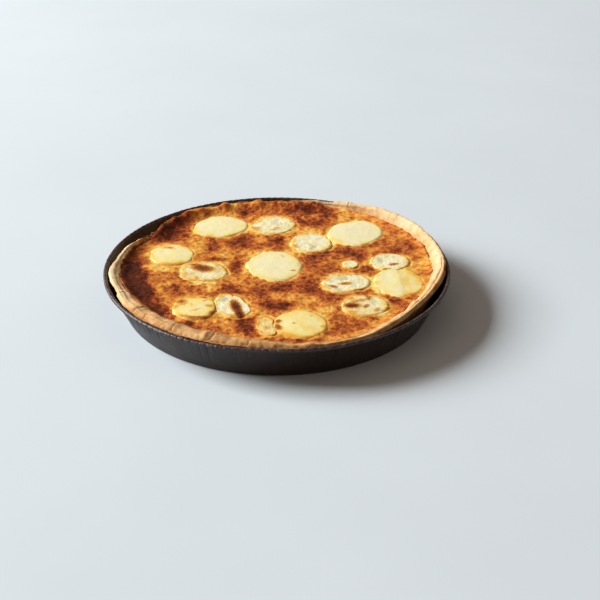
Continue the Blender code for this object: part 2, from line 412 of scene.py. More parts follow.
def crease_wall(r, z, degrees, on_wall, bead_clear):
    """Fold the wall inward along sharp lines that start under the rim.

    Gives the new radii and how much shade is painted at each point inside a fold.
    """
    draw = np.random.default_rng(11)
    below = RIM_TOP - 2.0 * BEAD_RADIUS - z
    fold_shade = np.zeros_like(r)
    for _ in range(CREASES):
        centre = draw.uniform(0, 360)
        width = draw.uniform(0.28, 0.5)
        depth = draw.uniform(0.4, 1.3)
        reach = draw.uniform(6, 22)
        lean = draw.uniform(-0.05, 0.05)
        delta = arc_away(degrees, centre + lean * below) / width
        fade = np.clip(1 - below / reach, 0, 1) * smooth(-0.5, 1.0, below) * on_wall
        groove = np.exp(-delta ** 2)
        r = r - depth * (groove - 0.5 * bell(delta - 2.4, 2.0)) * fade
        fold_shade = np.maximum(fold_shade, np.exp(-(1.6 * delta) ** 2) * fade * depth * bead_clear)
    return r, fold_shade


def make_tin():
    """The tin, with its dent, creases and crimped rim."""
    profile = tin_profile()
    degrees = np.arange(TIN_SECTORS) * 360 / TIN_SECTORS
    r = np.repeat(profile[:, 0][:, None], TIN_SECTORS, 1)
    z = np.repeat(profile[:, 1][:, None], TIN_SECTORS, 1)
    away = arc_away(degrees, DENT_ANGLE)
    r -= DENT_DEPTH * bell(away, DENT_WIDTH) * np.clip(z / RIM_TOP, 0, 1) ** 1.5

    from_bead = np.hypot(profile[:, 0] - BEAD_R, profile[:, 1] - BEAD_Z)
    near_bead = bell(from_bead, BEAD_REACH)[:, None]
    on_wall = smooth(*WALL_FOOT, z) * (r > WALL_INNER)
    r, fold_shade = crease_wall(r, z, degrees, on_wall, 1 - near_bead)

    ring = circle_points(degrees, NOISE_RING)
    slow = noise(ring, 14.0, 3)
    phase = np.radians(degrees) * RIM_PLEATS + 2.5 * noise(ring, 7.0, 4)
    notch = np.clip(-np.sin(phase) - 0.45, 0, 0.5) * (0.5 + np.abs(noise(ring, 3.0, 5)))
    r -= near_bead * (0.1 + 0.9 * notch)
    z -= near_bead * (0.12 * np.abs(slow) + 0.5 * notch)
    ripple = noise(ring + 5.0, 5.0, 8)
    r -= 0.4 * (0.5 + 0.5 * ripple) * on_wall * (1 - near_bead)

    # The top of the rolled rim, where the pale sheen is painted.
    edge = near_bead * smooth(0.0, 1.0, z - BEAD_Z + 0.6)
    piece = turned_shell("foil_tin", r, z, degrees, (0, TIN_WALL), {
        "edge": (edge, 0), "fold": (np.clip(fold_shade, 0, DARKEST_FOLD_SHADE), 0),
    })
    dress(piece, tin_material())
    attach(piece, "root")
    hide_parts("tin")


# ------------------------------ pastry

CASE_FLOOR_LOW = TIN_WALL + 0.35
CASE_FLOOR_HIGH = CASE_FLOOR_LOW + 3.0
CASE_FOOT_RADIUS = 116.0
CASE_INNER_FOOT = 110.0
CASE_CORNER = 2.4
NECK_LIMIT = 131.0
LIP_DROP = 1.5
FILL_EDGE = 25.3
CREST_MARGIN = 0.02       # the drawn pastry stays this far below its solid's top
OVER_RIM = 0.3            # height above the rim from which it may lean over it
NECK_EXTRA = 0.2
RIM_MARGIN = 0.1
HIDDEN_TONE = 0.4         # browning of points that nothing shows
CRUST_SECTORS = 1080
PASTRY_TOP = corners_mm("crust")[1][2]

# Angle, outer radius, crest height, lip radius, radius where the custard meets it.
WALL_STATIONS = np.array((
    (0, 131.2, 31.6, 125.5, 120.5),
    (12, 133.0, 32.9, 128.0, 122.0),
    (24, 133.9, 33.7, 129.5, 124.0),
    (36, 134.8, 34.3, 130.5, 125.8),
    (48, 134.8, 34.3, 130.5, 126.5),
    (58, 133.6, 33.1, 130.0, 127.3),
    (68, 131.8, 30.9, 129.3, 127.4),
    (80, 130.4, 29.1, 128.2, 126.5),
    (96, 129.6, 28.5, 127.3, 125.5),
    (112, 130.0, 28.7, 127.3, 125.5),
    (126, 129.8, 29.3, 126.5, 124.5),
    (138, 126.0, 29.5, 123.0, 121.0),
    (149, 120.8, 28.5, 118.5, 116.5),
    (156, 123.0, 29.7, 120.2, 117.8),
    (166, 124.3, 30.5, 121.2, 119.0),
    (176, 125.9, 31.1, 121.6, 118.8),
    (188, 129.3, 31.3, 123.0, 118.5),
    (200, 127.9, 31.3, 121.0, 116.4),
    (212, 130.4, 31.1, 119.5, 115.5),
    (232, 130.4, 31.5, 119.0, 115.0),
    (250, 130.4, 31.6, 118.0, 114.5),
    (264, 128.6, 30.7, 117.5, 114.5),
    (275, 128.4, 29.5, 120.5, 117.5),
    (287, 128.8, 28.5, 124.0, 120.5),
    (302, 128.0, 28.5, 123.0, 119.5),
    (314, 125.8, 29.7, 120.5, 117.5),
    (328, 124.0, 30.5, 118.5, 115.5),
    (342, 125.8, 30.8, 119.5, 116.5),
    (352, 128.8, 31.1, 122.5, 118.8),
))


def wall_values(degrees):
    """Outer radius, crest, lip and inner radius at each angle (Catmull-Rom in angle)."""
    angle = np.mod(degrees, 360)
    count = len(WALL_STATIONS)
    marks = np.append(WALL_STATIONS[:, 0], 360)
    k = np.clip(np.searchsorted(marks, angle, side="right") - 1, 0, count - 1)
    t = ((angle - marks[k]) / (marks[k + 1] - marks[k]))[:, None]
    near = [WALL_STATIONS[(k + step) % count][:, 1:] for step in (-1, 0, 1, 2)]
    return span_curve(*near, t).T


def within(degrees, start, stop, soft=6.0):
    """1 inside a span of angles, fading to 0 over soft degrees at each end."""
    middle, half = (start + stop) / 2, (stop - start) / 2
    return 1 - smooth(half - soft / 2, half + soft / 2, np.abs(arc_away(degrees, middle)))


# Cracks across the top of the wall: angle in degrees, depth and half-width in mm,
# and how far in from the outer edge each runs, in stations of the wall's section.
CRACKS = (
    (9, 0.5, 0.35, 6.4), (17, 0.4, 0.3, 5.9), (29, 0.7, 0.35, 7.0), (33, 0.4, 0.3, 5.8),
    (41, 0.9, 0.4, 7.2), (47, 0.4, 0.3, 6.0), (54, 0.9, 0.4, 7.0), (57, 0.5, 0.3, 6.2),
    (63, 0.8, 0.4, 7.4), (66, 0.5, 0.3, 6.0), (71, 0.6, 0.4, 6.6),
    (151, 2.2, 1.6, 8.4), (169, 0.8, 0.8, 7.0), (204, 0.9, 0.6, 7.0), (217, 1.0, 0.8, 7.4),
    (222, 0.8, 0.6, 6.4), (235, 0.7, 0.5, 7.6), (249.4, 0.8, 0.7, 7.0), (262, 0.8, 0.5, 7.0),
    (318, 0.8, 0.6, 7.4), (333, 1.0, 0.7, 7.4), (346, 0.7, 0.6, 7.0),
)
CRIMP_ANGLE = 247.0       # a pinched lump beside the deepest crack
PALE_START, PALE_STOP = -10, 76       # the least baked stretch of the wall
COVER_START, COVER_STOP = 74, 150     # where custard has baked over the wall's top


def crust_material():
    s = Surface("pastry", Specular_IOR_Level=0.2)
    fine = s.noise(1.6, 5.0, 0.65)
    medium = s.noise(7.0, 4.0, 0.6)
    speck = s.noise(0.9, 3.0, 0.5)
    toast = s.vary(s.field("toast"), medium, 0.12, 0.25, 0.75)
    toast = s.vary(toast, fine, 0.06, 0.25, 0.75)
    colour = s.ramp(toast, (
        (0.02, (244, 222, 184)), (0.2, (240, 208, 160)), (0.38, (230, 184, 126)),
        (0.56, (204, 146, 86)), (0.72, (166, 98, 46)), (0.86, (112, 56, 26)),
        (1.0, (64, 30, 17)),
    ))
    dots = s.math("MULTIPLY", s.scaled(speck, 0.6, 0.7), 0.4)
    colour = s.mix(colour, srgb(186, 118, 58), dots)
    normal = s.bump(fine, 0.25, 0.5)
    normal = s.bump(speck, 0.06, 0.5, under=normal)
    return s.finish(colour, s.scaled(fine, 0.3, 0.7, 0.62, 0.85), normal)


def pastry_section(degrees):
    """Radius and height of the pastry's section at each angle, and its stations.

    Stations count the section's key points: 3 is the neck, 4 the outermost point,
    6 the crest, 7 the lip and 8 where the custard meets the wall.
    """
    outer, crest, lip, inner = wall_values(degrees)
    top = outer - (outer - lip) * 0.45
    neck = np.minimum(outer - 0.8, NECK_LIMIT)
    flat = np.ones_like(outer)
    keys = [
        (CASE_FOOT_RADIUS * 0.5 * flat, CASE_FLOOR_LOW * flat),
        ((CASE_FOOT_RADIUS - CASE_CORNER) * flat, CASE_FLOOR_LOW * flat),
        (CASE_FOOT_RADIUS * flat, (CASE_FLOOR_LOW + CASE_CORNER) * flat),
        (neck, crest - 4.3),
        (outer, crest - 2.7),
        (outer - (outer - top) * 0.45, crest - 0.7),     # shoulder
        (top, crest - 0.1),
        (lip, crest - LIP_DROP),
        (inner, FILL_EDGE * flat),
        (CASE_INNER_FOOT * flat, (CASE_FLOOR_HIGH + 6.0) * flat),
        ((CASE_INNER_FOOT - CASE_CORNER) * flat, CASE_FLOOR_HIGH * flat),
        (CASE_INNER_FOOT * 0.5 * flat, CASE_FLOOR_HIGH * flat),
    ]
    keys = np.array([np.stack(k, 1) for k in keys])
    samples = (2, 2, 8, 10, 10, 10, 14, 12, 4, 2, 2)
    curve = catmull(keys, samples)
    path = np.concatenate([[0.0], np.cumsum(samples)])
    station = np.interp(np.arange(len(curve)), path, np.arange(len(keys)))[:, None]
    return curve[..., 0], curve[..., 1], station


def pastry_relief(p, degrees, station):
    """How far each point stands out from the smooth wall: lumps, layers and cracks."""
    dough = fbm(p, 4.2, 3, 22)
    wander = noise(p / np.array([1, 1, 3]), 22.0, 31)
    push = 1.5 * fbm(p, 14.0, 3, 21) + 0.36 * dough + 0.06 * fbm(p, 1.6, 2, 23)

    # Rolled layers along the front-left wall, the fold on the left, and the rope-like
    # ridge on the right.
    layered = within(degrees, 200, 268, 10) * smooth(4.2, 5.0, station)
    layered = layered * (1 - smooth(7.0, 7.8, station))
    push += 0.1 * layered * np.sin((station + wander * 0.5) * 2 * math.pi / 0.9)
    fold = within(degrees, 158, 206, 14)
    push -= 0.4 * fold * bell(station - 6.6 - 0.5 * wander, 0.4)
    push += 0.7 * fold * bell(station - 5.0 - 0.3 * wander, 0.4)
    rope = within(degrees, 300, 362, 16)
    push *= 1 - 0.5 * rope * (1 - smooth(5.0, 6.4, station))
    push -= 0.8 * rope * bell(station - 6.1 - 0.3 * wander, 0.28)
    push += 1.3 * rope * bell(station - 5.1, 0.6)
    push += 1.0 * rope * bell(station - 4.0, 0.6)

    # The left end bulges over the tin's rolled rim.
    bulge = within(degrees, 176, 212, 14)
    push += 1.2 * bulge * bell(station - 4.6, 1.2)

    # Flutes pressed by the tin's pleats on the front of the outer face.
    fluted = within(degrees, 226, 300, 16) * bell(station - 4.1, 1.0)
    flute = np.sin(np.radians(degrees) * 172 + 2.0 * noise(p[0], 20.0, 33))
    push -= 0.22 * fluted * np.clip(flute, -0.2, 1.0)

    wobble = noise(p, 3.5, 37)
    for angle, depth, width, reach in CRACKS:
        line = arc_away(degrees, angle) * math.radians(1) * RIM_RADIUS
        line = line + 0.9 * wobble + 0.8 * (station - 6) * math.sin(angle)
        along = smooth(4.0, 4.8, station) * (1 - smooth(reach - 0.6, reach + 0.2, station))
        push -= depth * bell(line, width) * along
    away = arc_away(degrees, CRIMP_ANGLE)
    push += 1.5 * bell(away, 1.1) * bell(station - 5.8, 1.2)
    return push, dough


def pastry_toast(p, degrees, station, push, dough):
    """Browning of the pastry, from 0 for cream to 1 for burnt, with painted shade in the deepest
    grooves and cracks.
    """
    fleck = noise(p, 5.0, 44)
    toast = 0.34 + 0.10 * fbm(p, 20.0, 3, 41)
    pale = within(degrees, PALE_START, PALE_STOP, 26)
    toast -= 0.08 * pale * smooth(5.0, 6.2, station) * (1 - smooth(7.3, 8.1, station))
    toast += 0.34 * pale * bell(station - 4.8, 0.7) * (0.7 + 0.9 * fleck)
    toast += 0.15 * within(degrees, 205, 300, 20)
    outer_face = 1 - smooth(3.8, 5.2, station)
    toast += 0.05 * outer_face * within(degrees, 296, 370, 14)
    toast += 0.10 * outer_face * within(degrees, 200, 300, 14)
    rolled = within(degrees, 300, 366, 14) * (1 - smooth(5.4, 6.2, station))
    toast += rolled * (0.04 + 0.16 * fleck + 0.1 * dough)
    toast -= 0.14 * within(degrees, 164, 212, 16) * (1 - smooth(6.4, 7.3, station))
    covered = within(degrees, COVER_START + 4, COVER_STOP + 6, 12)
    toast += 0.34 * covered * (0.8 + 0.6 * dough)
    toast += 0.14 * smooth(7.0, 8.0, station + 0.6 * dough)
    singed = smooth(6.9, 7.6, station + 0.9 * dough) * within(degrees, 158, 232, 14)
    toast += 0.44 * singed
    singed = smooth(7.0, 7.9, station + 0.9 * dough) * within(degrees, 232, 268, 14)
    toast += 0.26 * singed
    # Painted shade: darker in the deepest grooves and cracks.
    return toast + 0.12 * np.clip(-push - 0.7, 0, 1.5)


def make_crust():
    """The pastry case, roughened and toasted."""
    degrees = np.arange(CRUST_SECTORS) * 360 / CRUST_SECTORS
    r, z, station = pastry_section(degrees)
    across_r = np.roll(r, -1, 0) - np.roll(r, 1, 0)
    across_z = np.roll(z, -1, 0) - np.roll(z, 1, 0)
    length = np.hypot(across_r, across_z) + 1e-6
    turn = np.radians(degrees)
    p = np.stack([r * np.cos(turn), r * np.sin(turn), z], 2)
    push, dough = pastry_relief(p, degrees, station)
    toast = pastry_toast(p, degrees, station, push, dough)

    shown = smooth(2.6, 3.6, station) * (1 - smooth(8.6, 9.2, station))
    r = r + push * across_z / length * shown
    z = z - push * across_r / length * shown
    z = np.minimum(z, PASTRY_TOP - CREST_MARGIN)
    # Below the rim's top the pastry stays inside the rolled rim.
    low = z < RIM_TOP + OVER_RIM
    r = np.minimum(r, np.where(low, NECK_LIMIT + NECK_EXTRA, RIM_RADIUS - RIM_MARGIN))

    piece = turned_shell("pastry_case", r, z, degrees, (CASE_FLOOR_LOW, CASE_FLOOR_HIGH),
                         {"toast": (toast, HIDDEN_TONE)})
    dress(piece, crust_material())
    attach(piece, "root")
    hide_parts("crust")


# ------------------------------ slices

class Slice:
    """A slice in the custard: its place in plan, its outline and its marks, in mm.

    Bumps on the outline are (direction in degrees, half-width in degrees, rise).
    Marks are (x, y, half-length, half-width, direction, strength), with x and y
    counted from the slice's middle.
    """

    def __init__(self, place, axes, bumps=(), warmth=0.0, brown=(), green=(), tilt=(0, 0)):
        self.place = np.array(place, dtype=float)
        self.long, self.short, self.direction = axes
        self.bumps = bumps
        self.warmth = warmth
        self.brown = brown
        self.green = green
        self.tilt = tilt

    def rim(self, degrees):
        """Distance from the middle to the outline at each angle."""
        a = np.radians(degrees - self.direction)
        radius = 1 / np.hypot(np.cos(a) / self.long, np.sin(a) / self.short)
        for angle, width, rise in self.bumps:
            radius = radius + rise * bell(arc_away(degrees, angle), width)
        return radius

    def outside(self, xy):
        """Distance of each point from the outline, negative inside it."""
        d = xy - self.place
        degrees = np.degrees(np.arctan2(d[..., 1], d[..., 0]))
        return np.hypot(d[..., 0], d[..., 1]) - self.rim(degrees)

    def marks(self, xy, spots):
        """Summed strength of the marks at each point."""
        total = np.zeros(xy.shape[:-1])
        for spot in spots:
            total += blob(xy - self.place, spot)
        return total


POTATO = {
    "potato_slice_1": Slice(
        (-48, 81.5), (23.4, 20.2, 20), ((100, 20, 1.2), (215, 22, 1.2)), warmth=0.02),
    "potato_slice_2": Slice(
        (-85, 27), (20.0, 17.6, 106), ((235, 25, 1.4), (20, 20, 1.2)), warmth=0.16,
        brown=((-4, 12, 6, 2.2, 8, 0.55), (0, 10, 4, 1.6, -20, 0.4), (2, -19, 10, 4, 5, 0.5))),
    "potato_slice_3": Slice(
        (-2.5, 8.5), (27.2, 22.6, 98), ((72, 16, 1.6), (130, 20, -1.2)), warmth=0.04,
        brown=((15, -9, 2.4, 1.6, 0, 0.7), (6, 17, 2.8, 1.4, 120, 0.4), (19, 2, 1.6, 4, 0, 0.3))),
    "potato_slice_4": Slice(
        (63, 69), (25.6, 22.2, 60), ((72, 13, 1.8), (105, 14, -1.6), (205, 16, 1.0)),
        warmth=-0.10,
        brown=((20, -14, 5, 2, 50, 0.55),)),
    "potato_slice_5": Slice(
        (93.6, -19.5), (24.6, 19.8, 87),
        ((91, 7, -3.0), (60, 18, 1.6), (118, 14, 1.2), (340, 24, 1.4)), warmth=0.12,
        brown=((1, 20, 1.2, 5, 0, 0.35),)),
    "potato_slice_6": Slice(
        (18.5, -88.5), (21.2, 20.4, 88), ((300, 20, 0.6),), warmth=0.24,
        brown=((-16, 4, 3, 2.6, 60, 0.8), (-16, -6, 4.4, 2.8, 110, 0.95),
               (-5, 0, 1.8, 1.6, 0, 0.5), (16, -4, 2.2, 1.6, 60, 0.6), (8, 12, 1.8, 1.2, 30, 0.4),
               (-18, -1, 3, 9, 0, 0.4), (6, -19, 5, 1.8, 0, 0.5), (14, -14, 2, 2, 0, 0.4))),
    "potato_slice_7": Slice(
        (-61, -64), (20.0, 16.9, 101), ((45, 18, 1.4), (180, 22, -1.0)),
        warmth=0.26, tilt=(0.01, -0.035),
        brown=((12, 2, 3, 4, 70, 0.6), (-12, 10, 4, 3, 0, 0.7), (2, -5, 6, 1.6, 30, 0.4),
               (-2, 4, 3, 1.2, 100, 0.35), (-1, 17, 4, 1.4, 10, 0.55), (8, 11, 3.4, 1.2, 60, 0.5),
               (14, -9, 4, 2.6, 70, 0.9), (5, -17, 10, 2.2, 8, 0.9), (-8, 8, 3.6, 6.5, 0, 0.6),
               (-13, 1, 5, 2.4, 70, 0.5), (-5, -15, 7, 2, 170, 0.6))),
}
CHEESE = {
    "cheese_piece_1": Slice(
        (-5, 84.5), (20.0, 17.8, 20), ((160, 16, -2.4), (95, 16, 1.6), (200, 18, 1.6)),
        warmth=0.12,
        brown=((-14, -7, 5, 3.2, 0, 0.45), (3.5, -7, 4, 2.4, 40, 0.5), (-2, -10, 6, 1.6, 0, 0.3)),
        green=((6, 2, 5, 4, 0, 0.5), (14, 0, 3, 3, 0, 0.5))),
    "cheese_piece_2": Slice(
        (26.5, 50), (18.6, 17.6, 90), ((30, 20, 1.6), (160, 16, -1.2)), warmth=0.08,
        brown=((-12, -8, 4, 3, 0, 0.25),),
        green=((2, -8, 3, 6, -20, 0.9), (-4, 7, 4, 2.4, 30, 0.5), (10, 9, 5, 2.4, 0, 0.4))),
    "cheese_piece_3": Slice(
        (88.5, 16), (16.4, 15.2, 10), ((40, 16, 1.2), (200, 18, -1.0)), warmth=0.10,
        brown=((3, -5, 4.4, 2.4, 15, 0.9),),
        green=((-7, 2, 3, 6, 0, 0.9), (13, -2, 2.4, 2.4, 0, 0.7), (2, 8, 6, 3, 0, 0.5))),
    "cheese_piece_4": Slice(
        (53, -21.5), (19.8, 16.0, 20), ((90, 14, -1.0),), warmth=0.12,
        brown=((-10, -7, 4, 2.4, -25, 0.85), (-0.5, -2, 5.6, 2.8, 5, 0.8),
               (13, -12, 7, 3, 10, 0.8), (-4, 12, 4, 1.4, 10, 0.4)),
        green=((-5, -12, 2.4, 3.6, 20, 0.9), (-3, 7, 6, 4, 0, 0.8), (-11, 2, 3, 2.6, 40, 0.6),
               (12, 3, 4, 6, 0, 0.4))),
    "cheese_piece_5": Slice(
        (66, -58.5), (18.6, 17.0, 30), ((78, 10, -2.2), (0, 16, 0.8)), warmth=0.24,
        brown=((-9.5, -1.5, 6.4, 4.6, 5, 1.35), (1, -2, 4, 2.4, 60, 0.8), (-4, 7, 8, 3, 20, 0.55),
               (3.5, 13, 2.4, 5, 0, 0.7), (9, -7, 4, 2, 60, 0.6), (-8, -11, 6, 2, 0, 0.35)),
        green=((7, 5, 3, 6, 0, 0.7), (11, -7, 2.6, 5, 40, 0.7), (2, -10, 4, 3, 0, 0.5))),
    "cheese_piece_6": Slice(
        (57.5, 11), (6.6, 6.0, 80), ((60, 20, 0.8),), warmth=0.12,
        green=((-3, 1, 2, 2, 0, 0.7),)),
    "cheese_piece_7": Slice(
        (-57.5, -3), (19.2, 17.0, -20), ((60, 22, 2.0), (120, 18, -1.8), (215, 20, 1.4)),
        warmth=0.20,
        brown=((-1, 5, 10, 6.2, -20, 1.2), (-9, 12, 4, 2.6, 0, 0.6), (-12, -6, 9, 5, -20, 0.3)),
        green=((11, 2, 4, 7, 0, 0.5),)),
    "cheese_piece_8": Slice(
        (-33, -60), (19.4, 13.2, 108), ((40, 16, -1.4), (330, 14, 1.6)), warmth=0.08,
        brown=((3.5, -2.5, 12, 4.2, 104, 1.35), (7, -15, 5, 4, 100, 1.0)),
        green=((-6, 9, 3.4, 4, 0, 1.0), (-5, -4, 3, 4, 0, 0.7), (-7, 15, 2.6, 2.6, 0, 0.8))),
    "cheese_piece_9": Slice(
        (-6, -91.5), (16.4, 7.4, 98), warmth=0.46,
        brown=((0, -2, 3, 4, 0, 0.5), (-2, 8, 3, 2, 0, 0.3))),
}
SLICE_THICKNESS = 4.6
SLICE_DOME = 0.5
SLICE_SECTORS = 160
SLICE_BEVEL = 1.4
OUTLINE_EXTRA = 0.6       # slices are drawn this much larger, since custard laps them
POTATO_LAP = 2.6          # how far cheese sinks where a slice of potato laps over it
EDGE_SINK = 1.1           # how far a slice's top slopes down at its outline


def slice_top(node):
    """Height of a slice's upper edge."""
    return corners_mm(node)[1][2] - SLICE_DOME


def slice_grid(shape, rings, wobble, seed):
    """Rings of points from the middle of a slice's top, over its edge, to its underside.

    Gives x, y, the share of the way to the outline, and the drop below the top.
    """
    degrees = np.arange(SLICE_SECTORS) * 360 / SLICE_SECTORS
    around = circle_points(degrees, 1)
    ragged = fbm(circle_points(degrees, 9, seed * 1.7), 6.0, 3, seed)
    radius = shape.rim(degrees) + OUTLINE_EXTRA + wobble * ragged
    spans, drops = [], []
    for share in 1 - (1 - np.linspace(0, 1, rings)[1:]) ** 1.35:
        spans.append(share * (radius - SLICE_BEVEL))
        drops.append(np.zeros(SLICE_SECTORS))
    for angle in np.radians(np.linspace(0, 90, 7))[1:]:
        spans.append(radius - SLICE_BEVEL * (1 - math.sin(angle)))
        drops.append(np.full(SLICE_SECTORS, SLICE_BEVEL * (1 - math.cos(angle))))
    for inset, drop in ((0.2, SLICE_THICKNESS - 0.6), (1.0, SLICE_THICKNESS - 0.2)):
        spans.append(radius - inset)
        drops.append(np.full(SLICE_SECTORS, drop))
    span = np.array(spans)
    x = shape.place[0] + span * around[:, 0]
    y = shape.place[1] + span * around[:, 1]
    return x, y, span / radius, np.array(drops)


def slice_mesh(name, x, y, z, fields):
    """Close the rings of a slice into a solid."""
    rows, columns = x.shape
    verts = np.stack([x, y, z], 2).reshape(-1, 3)
    top = [x[0].mean(), y[0].mean(), z[0].mean()]
    low = [x[-1].mean(), y[-1].mean(), z[-1].mean()]
    verts = np.concatenate([verts, [top, low]])
    faces = band_faces(rows, columns, flip=True)
    faces += fan_faces(0, columns, len(verts) - 2)
    faces += fan_faces((rows - 1) * columns, columns, len(verts) - 1, flip=True)
    padded = {}
    for label, values in fields.items():
        flat = values.reshape(-1)
        padded[label] = np.concatenate([flat, [flat[:columns].mean(), flat[-1]]])
    return build_mesh(name, verts, faces, padded)


def potato_material():
    s = Surface("potato_flesh", Specular_IOR_Level=0.2, Subsurface_Weight=0.1,
                Subsurface_Scale=0.003)
    cloud = s.noise(11.0, 3.0, 0.55, 0.4)
    grain = s.noise(1.4, 4.0, 0.65)
    tone = s.vary(s.field("warm"), cloud, 0.12)
    tone = s.vary(tone, grain, 0.05)
    colour = s.ramp(tone, (
        (0.0, (244, 232, 190)), (0.25, (254, 240, 188)), (0.5, (255, 234, 160)),
        (0.75, (254, 212, 108)), (1.0, (238, 168, 60)),
    ))
    spot = s.vary(s.field("brown"), grain, 0.28)
    colour = s.mix(colour, srgb(232, 168, 70), s.scaled(spot, 0.1, 0.5))
    colour = s.mix(colour, srgb(168, 92, 34), s.scaled(spot, 0.45, 0.95))
    normal = s.bump(grain, 0.15, 0.5)
    return s.finish(colour, s.scaled(cloud, 0.3, 0.7, 0.5, 0.62), normal)


def make_potatoes(material):
    """The slices of potato."""
    for seed, (node, shape) in enumerate(POTATO.items()):
        x, y, share, drop = slice_grid(shape, 34, 1.3, 60 + seed)
        p = np.stack([x, y, np.full_like(x, seed * 40.0)], 2)
        swell = fbm(p, 16.0, 3, 70 + seed)
        pit = fbm(p, 3.4, 3, 90 + seed)
        lean = shape.tilt[0] * (x - shape.place[0]) + shape.tilt[1] * (y - shape.place[1])
        rise = SLICE_DOME * (1 - share ** 2) + 0.3 * swell + 0.07 * pit + lean
        rise -= EDGE_SINK * smooth(0.86, 1.02, share)
        edge = smooth(0.55, 1.0, share) * (0.8 + 0.8 * noise(p, 7.0, 120))
        warm = 0.28 + 0.16 * swell + 0.4 * edge + shape.warmth
        if node == "potato_slice_5":
            half = smooth(-2.0, 2.0, x - shape.place[0] - 2.5 + 0.06 * (y - shape.place[1]))
            rise -= 0.25 * half
            warm += 0.2 * half
        brown = shape.marks(p[..., :2], shape.brown)
        brown += 0.3 * smooth(0.95, 1.02, share) * (1 + pit)
        z = slice_top(node) + rise - drop
        piece = slice_mesh(node.replace("slice", "round"), x, y, z,
                           {"warm": warm, "brown": brown})
        dress(piece, material)
        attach(piece, "root")
        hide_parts(node)


def cheese_material():
    s = Surface("goats_cheese", Specular_IOR_Level=0.18, Subsurface_Weight=0.08,
                Subsurface_Scale=0.003)
    cloud = s.noise(5.0, 4.0, 0.6, 0.6)
    grain = s.noise(1.3, 4.0, 0.65)
    tone = s.vary(s.field("warm"), cloud, 0.2)
    colour = s.ramp(tone, (
        (0.0, (255, 250, 224)), (0.3, (254, 242, 200)), (0.55, (252, 230, 164)),
        (0.8, (246, 200, 106)), (1.0, (228, 158, 62)),
    ))
    green = s.vary(s.field("green"), grain, 0.35)
    colour = s.mix(colour, srgb(196, 190, 142), s.scaled(green, 0.2, 0.9, 0.0, 0.8))
    herb = s.math("MULTIPLY", s.field("green"), s.scaled(s.noise(1.0, 2.0), 0.62, 0.7))
    colour = s.mix(colour, srgb(120, 116, 76), s.scaled(herb, 0.1, 0.7, 0.0, 0.7))
    spot = s.vary(s.field("brown"), grain, 0.34)
    colour = s.mix(colour, srgb(230, 170, 84), s.scaled(spot, 0.1, 0.5))
    colour = s.mix(colour, srgb(164, 86, 32), s.scaled(spot, 0.45, 0.9))
    colour = s.mix(colour, srgb(82, 36, 18), s.scaled(spot, 0.95, 1.4))
    normal = s.bump(cloud, 0.35, 0.5)
    normal = s.bump(grain, 0.15, 0.5, under=normal)
    return s.finish(colour, s.scaled(grain, 0.3, 0.7, 0.42, 0.65), normal)


def make_cheese(material):
    """The pieces of cheese."""
    for seed, (node, shape) in enumerate(CHEESE.items()):
        x, y, share, drop = slice_grid(shape, 38, 2.0, 160 + seed)
        p = np.stack([x, y, np.full_like(x, seed * 30.0)], 2)
        lumps = fbm(p, 7.0, 4, 170 + seed)
        crumbs = ridged(p, 3.2, 3, 190 + seed) - 0.7
        xy = p[..., :2]
        brown = shape.marks(xy, shape.brown)
        green = shape.marks(xy, shape.green)
        rind = bell(share - 0.88 + 0.06 * lumps, 0.07)
        relief = 0.5 * lumps + 0.22 * crumbs + 0.1 * rind - 0.2 * green + 0.2 * brown
        relief -= EDGE_SINK * smooth(0.84, 1.02, share)
        for potato in POTATO.values():
            relief -= POTATO_LAP * (1 - smooth(-1.6, 0.2, potato.outside(xy)))
        z = slice_top(node) + 0.2 + np.minimum(relief, 1.2) - drop
        edge = smooth(0.5, 0.96, share + 0.14 * lumps)
        warm = 0.22 + 0.45 * edge ** 1.5 + 0.22 * np.clip(lumps, -1, 1) + shape.warmth
        piece = slice_mesh(node.replace("piece", "round"), x, y, z,
                           {"warm": warm, "brown": brown, "green": green})
        dress(piece, material)
        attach(piece, "root")
        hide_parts(node)


# ------------------------------ custard

CUSTARD_SPAN = 300        # points along each side of the custard's grid
CUSTARD_SKIRT = 106.0     # radius of the custard's hidden foot
LIP_INSET, LIP_HEIGHT = 0.3, 1.3        # of the rounded edge above that skirt
CUSTARD_FLOOR = CASE_FLOOR_HIGH + 0.5
TOP_MARGIN = 0.05         # kept between the custard and the highest pastry
FILL_LEVEL = 25.1
SCORCH_LIMIT = 0.52       # the most that browning spots add where they pile up
SPILL_WIDTH = 1.7         # of the lumps on the wall, in degrees
LAP_DEPTH = 0.5           # how far below a slice's edge the custard meets it
LAP_UNEVEN = 0.45
UNDER_SLICES = 3.0        # how far the custard dips where a slice hides it
SWELLS = ((-95, -25, 32, 1.6), (-30, 30, 40, -0.7), (40, 95, 34, 0.8),
          (25, -45, 38, 0.6), (95, 50, 30, 0.7))

# Lumps of custard on top of the wall at the back: angle in degrees, and height in mm.
SPILLS = ((98, 1.8), (112, 2.6), (121, 1.2), (128, 1.4), (135, 1.2), (143, 2.0), (150, 1.4))

